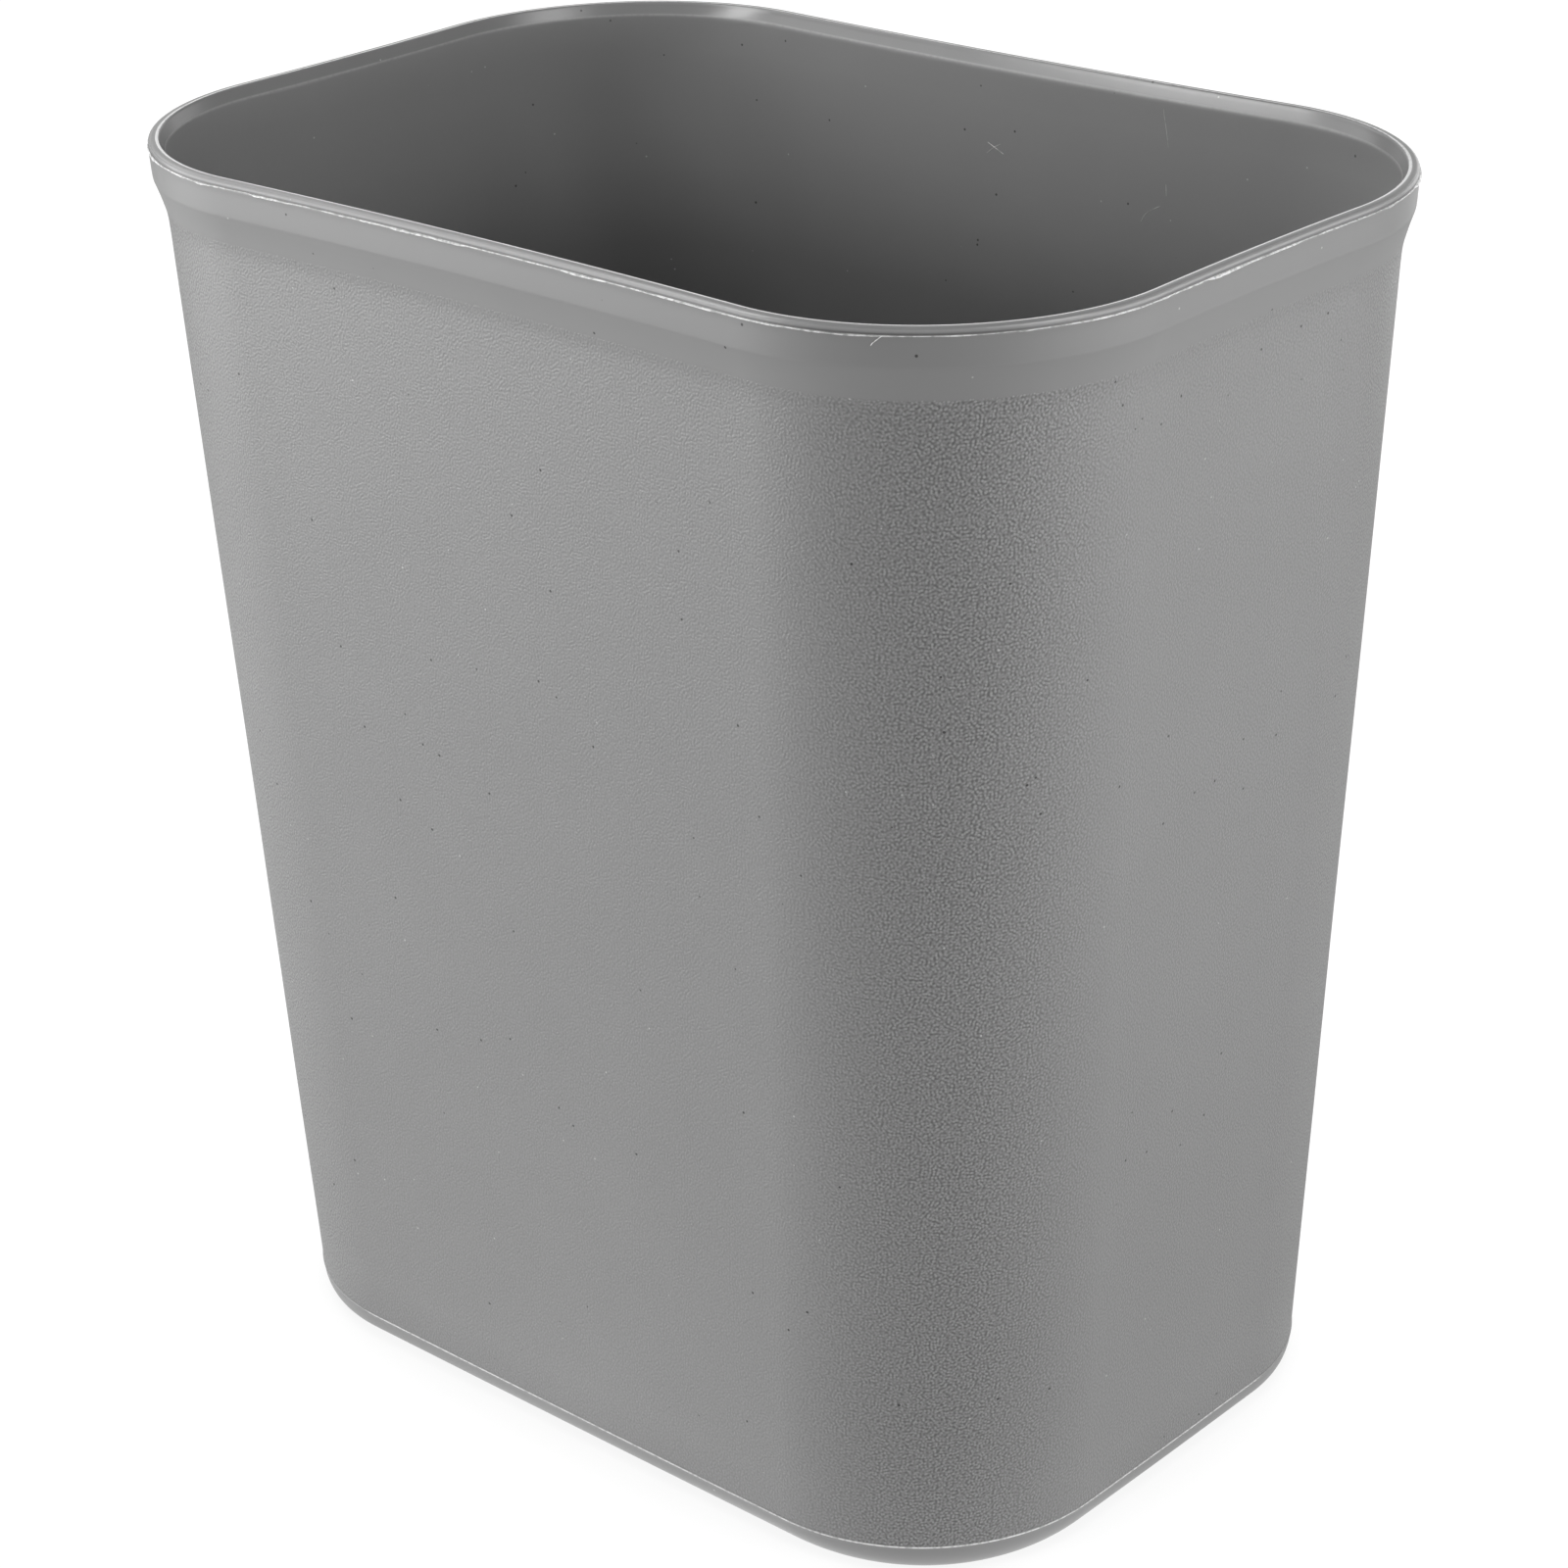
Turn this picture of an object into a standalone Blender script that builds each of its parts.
"""Office wastebasket: one open-topped, one-piece plastic moulding.

A rounded-rectangular tapering bin. The wall leans outward from a rounded foot to
a thick collar under the rim. The collar ends in a sharp mould parting line, and a
narrow rounded lip stands on top of it. Inside, a short band below the lip steps in
to the plain inner wall. The underside is recessed inside a flat standing ring.

Metres, +Z up. The origin is the middle of the floor contact plane. The long sides
face -Y and +Y, the short ends face -X and +X.

The body is a stack of closed outlines with equal point counts, skinned from the
underside, up the outside, over the lip and down the inside to the floor.
"""
import math
from typing import NamedTuple

import bmesh
import bpy

MM = 0.001


class Plan(NamedTuple):
    """Sizes of a rounded-rectangular outline."""
    half_x: float       # half length, through the middle of the ends
    half_y: float       # half width, through the middle of the long sides
    corner_r: float
    bow_long: float     # how far the middle of a long side bows out (+) or in (-)
    bow_end: float      # the same for an end

    def grown(self, offset, tighten=0.0):
        """Move the outline outward by offset; tighten makes the corners turn tighter."""
        return self._replace(half_x=self.half_x + offset,
                             half_y=self.half_y + offset,
                             corner_r=self.corner_r + offset - tighten)


# ---------------------------------------------------------------- driving sizes
HEIGHT = 381.0 * MM            # floor to the crest of the lip

# Lip and inner band, in mm: (height against the parting line, distance inside it)
LIP = [(0.0, 0.0), (0.9, 0.1), (1.55, 0.35), (1.9, 0.85),
       (2.0, 1.5), (2.0, 2.7), (1.85, 3.25), (1.3, 3.65),
       (0.0, 4.5), (-1.4, 5.35), (-1.9, 5.75), (-2.6, 6.05)]

# Collar: (mm below the parting line, share of the way from the plain wall out to it)
COLLAR = [(22.0, 0.025), (20.0, 0.065), (18.2, 0.145), (16.5, 0.26),
          (14.3, 0.43), (12.4, 0.59), (10.8, 0.735), (9.4, 0.88),
          (8.3, 0.95), (4.0, 0.975), (0.45, 0.99)]

# Plain outer wall: its plan at two heights sets the taper.
FOOT_Z = 8.8 * MM              # where the wall meets the rounded foot
FOOT = Plan(half_x=149.6 * MM, half_y=104.5 * MM, corner_r=63.3 * MM,
            bow_long=0.2 * MM, bow_end=0.15 * MM)
TOP_Z = 355.5 * MM
TOP = Plan(half_x=167.7 * MM, half_y=114.1 * MM, corner_r=68.9 * MM,
           bow_long=-2.1 * MM, bow_end=-0.9 * MM)

# Rim: the parting line is the widest edge of the object.
RIM_Z = HEIGHT - max(rise for rise, inset in LIP) * MM
RIM_OVERHANG = 4.6 * MM        # parting line outside the TOP plan
RIM = TOP.grown(RIM_OVERHANG)._replace(bow_long=-2.2 * MM, bow_end=-0.8 * MM)
RIM_CORNER_FLAT = 0.3 * MM     # the rim corners are slightly flatter at 45 degrees
PLAIN_WALL_END_Z = RIM_Z - 26.0 * MM    # last plain ring, just under the collar

# Rounded bottom edge and underside
FOOT_INSET = 8.4 * MM          # how far the standing ring sits inside the wall
FOOT_CORNER_TIGHTEN = 9.0 * MM  # the ring's corners turn tighter than a plain inset
RING_WIDTH = 8.0 * MM          # width of the flat standing ring
RECESS = 2.4 * MM              # height of the underside above the standing ring

# Inside
WALL = 2.4 * MM                # plain wall thickness
FLOOR = 3.0 * MM               # thickness of the floor panel
INNER_FLOOR_R = 9.0 * MM       # inside radius between wall and floor

# Mesh density
SIDE_POINTS = 4                # points along half a side
CORNER_POINTS = 12             # points round a corner
FOOT_STEPS = 6                 # round the bottom edge
OUTER_WALL_STEPS = 5
INNER_WALL_STEPS = 6
INNER_FLOOR_STEPS = 5          # round the inside radius
SHARP_ANGLE = math.radians(35)  # edges that turn more than this are shaded sharp

GREY = (0.262, 0.262, 0.262, 1.0)


# ---------------------------------------------------------------- outlines
def arc(start, heading, curvature, length, count):
    """Points along an arc that leaves `start` in direction `heading`, and its end heading."""
    start_x, start_y = start
    points = []
    for i in range(count):
        distance = length * i / (count - 1)
        if abs(curvature) < 1e-9:              # straight
            dx = distance * math.cos(heading)
            dy = distance * math.sin(heading)
        else:
            turned = heading + curvature * distance
            dx = (math.sin(turned) - math.sin(heading)) / curvature
            dy = -(math.cos(turned) - math.cos(heading)) / curvature
        points.append((start_x + dx, start_y + dy))
    return points, heading + curvature * length


def bow_curvature(bow, half_chord):
    return 2 * bow / (bow ** 2 + half_chord ** 2)


def quarter(plan):
    """A quarter of the outline, from (half_x, 0) round the corner to (0, half_y).

    Each side is a shallow arc and the corner arc is tangent to both. The lengths
    of the two side arcs are solved so that the quarter closes on the axis.
    """
    radius = plan.corner_r
    end_length = plan.half_y - radius
    long_length = plan.half_x - radius
    end_curvature = bow_curvature(plan.bow_end, end_length)
    long_curvature = bow_curvature(plan.bow_long, long_length)

    def build(end_length, long_length):
        end_side, heading = arc((plan.half_x, 0.0), math.pi / 2, end_curvature,
                                end_length, SIDE_POINTS)
        # the long side has to finish heading along -X
        corner_turn = math.pi - long_curvature * long_length - heading
        corner, heading = arc(end_side[-1], heading, 1.0 / radius,
                              radius * corner_turn, CORNER_POINTS)
        long_side, _ = arc(corner[-1], heading, long_curvature, long_length, SIDE_POINTS)
        return end_side + corner[1:] + long_side[1:]

    def miss(end_length, long_length):
        x, y = build(end_length, long_length)[-1]
        return x, y - plan.half_y

    # Newton's method, with slopes taken over a small step of each length
    step = 1e-6
    for _ in range(12):
        miss_x, miss_y = miss(end_length, long_length)
        if max(abs(miss_x), abs(miss_y)) < 1e-10:
            break
        x, y = miss(end_length + step, long_length)
        x_per_end, y_per_end = (x - miss_x) / step, (y - miss_y) / step
        x, y = miss(end_length, long_length + step)
        x_per_long, y_per_long = (x - miss_x) / step, (y - miss_y) / step
        determinant = x_per_end * y_per_long - x_per_long * y_per_end
        end_length -= (y_per_long * miss_x - x_per_long * miss_y) / determinant
        long_length -= (x_per_end * miss_y - y_per_end * miss_x) / determinant
    return build(end_length, long_length)


def flatten_corner(points, plan, flat):
    """Pull the corner of a quarter inward, by `flat` at 45 degrees and nothing at its ends."""
    centre_x = plan.half_x - plan.corner_r
    centre_y = plan.half_y - plan.corner_r
    shaped = []
    for x, y in points:
        dx, dy = x - centre_x, y - centre_y
        if dx > 0 and dy > 0:
            angle = math.atan2(dy, dx)
            pull = flat * math.sin(2 * angle) ** 2 / math.hypot(dx, dy)
            x, y = x - dx * pull, y - dy * pull
        shaped.append((x, y))
    return shaped


def mirrored(points):
    """Close a quarter into the whole outline, counter-clockwise seen from above."""
    outline = list(points)
    outline += [(-x, y) for x, y in reversed(points)][1:]
    outline += [(-x, -y) for x, y in points][1:]
    outline += [(x, -y) for x, y in reversed(points)][1:-1]
    return outline


def wall_outline(z, offset=0.0):
    """Plain wall at height z, moved outward by offset."""
    share = (z - FOOT_Z) / (TOP_Z - FOOT_Z)
    plan = Plan(*(foot + (top - foot) * share for foot, top in zip(FOOT, TOP)))
    return mirrored(quarter(plan.grown(offset)))


def foot_outline(inset, tighten):
    """Foot plan, moved inward by inset, with tighter corners."""
    return mirrored(quarter(FOOT.grown(-inset, tighten)))


def rim_outline(inset):
    """Parting-line outline, moved inward by inset."""
    plan = RIM.grown(-inset)
    return mirrored(flatten_corner(quarter(plan), plan, RIM_CORNER_FLAT))


# ---------------------------------------------------------------- section
# Each function returns the rings of one stretch as (outline, z).
def underside_rings():
    """Recess edge, sloping at 45 degrees to the inner edge of the standing ring."""
    ring_inner = FOOT_INSET + RING_WIDTH
    return [(foot_outline(ring_inner + RECESS, FOOT_CORNER_TIGHTEN), RECESS),
            (foot_outline(ring_inner, FOOT_CORNER_TIGHTEN), 0.0)]


def foot_rings():
    """Rounded bottom edge, from the standing ring up to the wall."""
    rings = []
    for i in range(FOOT_STEPS + 1):
        angle = math.radians(90 * (1 - i / FOOT_STEPS))
        inward = 1 - math.cos(angle)
        rings.append((foot_outline(FOOT_INSET * inward, FOOT_CORNER_TIGHTEN * inward),
                      FOOT_Z * (1 - math.sin(angle))))
    return rings


def outer_wall_rings():
    rise = PLAIN_WALL_END_Z - FOOT_Z
    heights = [FOOT_Z + rise * i / OUTER_WALL_STEPS for i in range(1, OUTER_WALL_STEPS + 1)]
    return [(wall_outline(z), z) for z in heights]


def collar_rings():
    """Neck and collar: the plan moves from the wall's own to the rim's."""
    shifts = [(rim_x - wall_x, rim_y - wall_y)
              for (rim_x, rim_y), (wall_x, wall_y) in zip(rim_outline(0.0), wall_outline(RIM_Z))]
    rings = []
    for below, share in COLLAR:
        z = RIM_Z - below * MM
        outline = [(x + shift_x * share, y + shift_y * share)
                   for (x, y), (shift_x, shift_y) in zip(wall_outline(z), shifts)]
        rings.append((outline, z))
    return rings


def lip_rings():
    """Parting line, lip, inner band and ledge."""
    return [(rim_outline(inset * MM), RIM_Z + rise * MM) for rise, inset in LIP]


def inner_rings():
    """Inner wall from below the ledge, then the inside radius down to the floor."""
    ledge_z = RIM_Z + LIP[-1][0] * MM
    wall_end_z = RECESS + FLOOR + INNER_FLOOR_R
    rings = []
    for i in range(1, INNER_WALL_STEPS + 1):
        z = ledge_z + (wall_end_z - ledge_z) * i / INNER_WALL_STEPS
        rings.append((wall_outline(z, -WALL), z))
    for i in range(1, INNER_FLOOR_STEPS + 1):
        angle = math.radians(90 * i / INNER_FLOOR_STEPS)
        inset = INNER_FLOOR_R * (1 - math.cos(angle))
        rings.append((wall_outline(wall_end_z, -WALL - inset),
                      wall_end_z - INNER_FLOOR_R * math.sin(angle)))
    return rings


# ---------------------------------------------------------------- body
def extrude_ring(bm, ring, outline, z):
    """Extrude the open edge of the shell and move the new edge onto the next outline."""
    edges = [bm.edges.get((ring[i - 1], ring[i])) for i in range(len(ring))]
    made = bmesh.ops.extrude_edge_only(bm, edges=edges)["geom"]
    fresh = {item for item in made if isinstance(item, bmesh.types.BMVert)}
    moved = []
    for old, (x, y) in zip(ring, outline):
        new = next(edge.other_vert(old) for edge in old.link_edges
                   if edge.other_vert(old) in fresh)
        new.co = (x, y, z)
        moved.append(new)
    return moved


def close_ring(bm, ring, z):
    """Fill an outline with a fan of faces round a middle point."""
    middle = bm.verts.new((0.0, 0.0, z))
    for i in range(len(ring)):
        bm.faces.new((ring[i - 1], ring[i], middle))


def build_body(name, material):
    rings = (underside_rings() + foot_rings() + outer_wall_rings()
             + collar_rings() + lip_rings() + inner_rings())
    bm = bmesh.new()
    outline, z = rings[0]
    ring = [bm.verts.new((x, y, z)) for x, y in outline]
    for i in range(len(ring)):
        bm.edges.new((ring[i - 1], ring[i]))
    close_ring(bm, ring, z)                        # underside panel
    for outline, z in rings[1:]:
        ring = extrude_ring(bm, ring, outline, z)
    close_ring(bm, ring, z)                        # floor, seen from inside
    bmesh.ops.recalc_face_normals(bm, faces=bm.faces)

    mesh = bpy.data.meshes.new(name)
    bm.to_mesh(mesh)
    bm.free()
    mesh.shade_smooth()
    mesh.set_sharp_from_angle(angle=SHARP_ANGLE)
    mesh.materials.append(material)
    body = bpy.data.objects.new(name, mesh)
    bpy.context.scene.collection.objects.link(body)


def grey_plastic(name):
    material = bpy.data.materials.new(name)
    material.use_nodes = True
    inputs = material.node_tree.nodes["Principled BSDF"].inputs
    inputs["Base Color"].default_value = GREY
    inputs["Roughness"].default_value = 0.5
    inputs["Metallic"].default_value = 0.0
    material.diffuse_color = GREY
    return material


def main():
    for old in list(bpy.data.objects):
        bpy.data.objects.remove(old, do_unlink=True)
    build_body("basket_body", grey_plastic("grey_plastic"))


main()
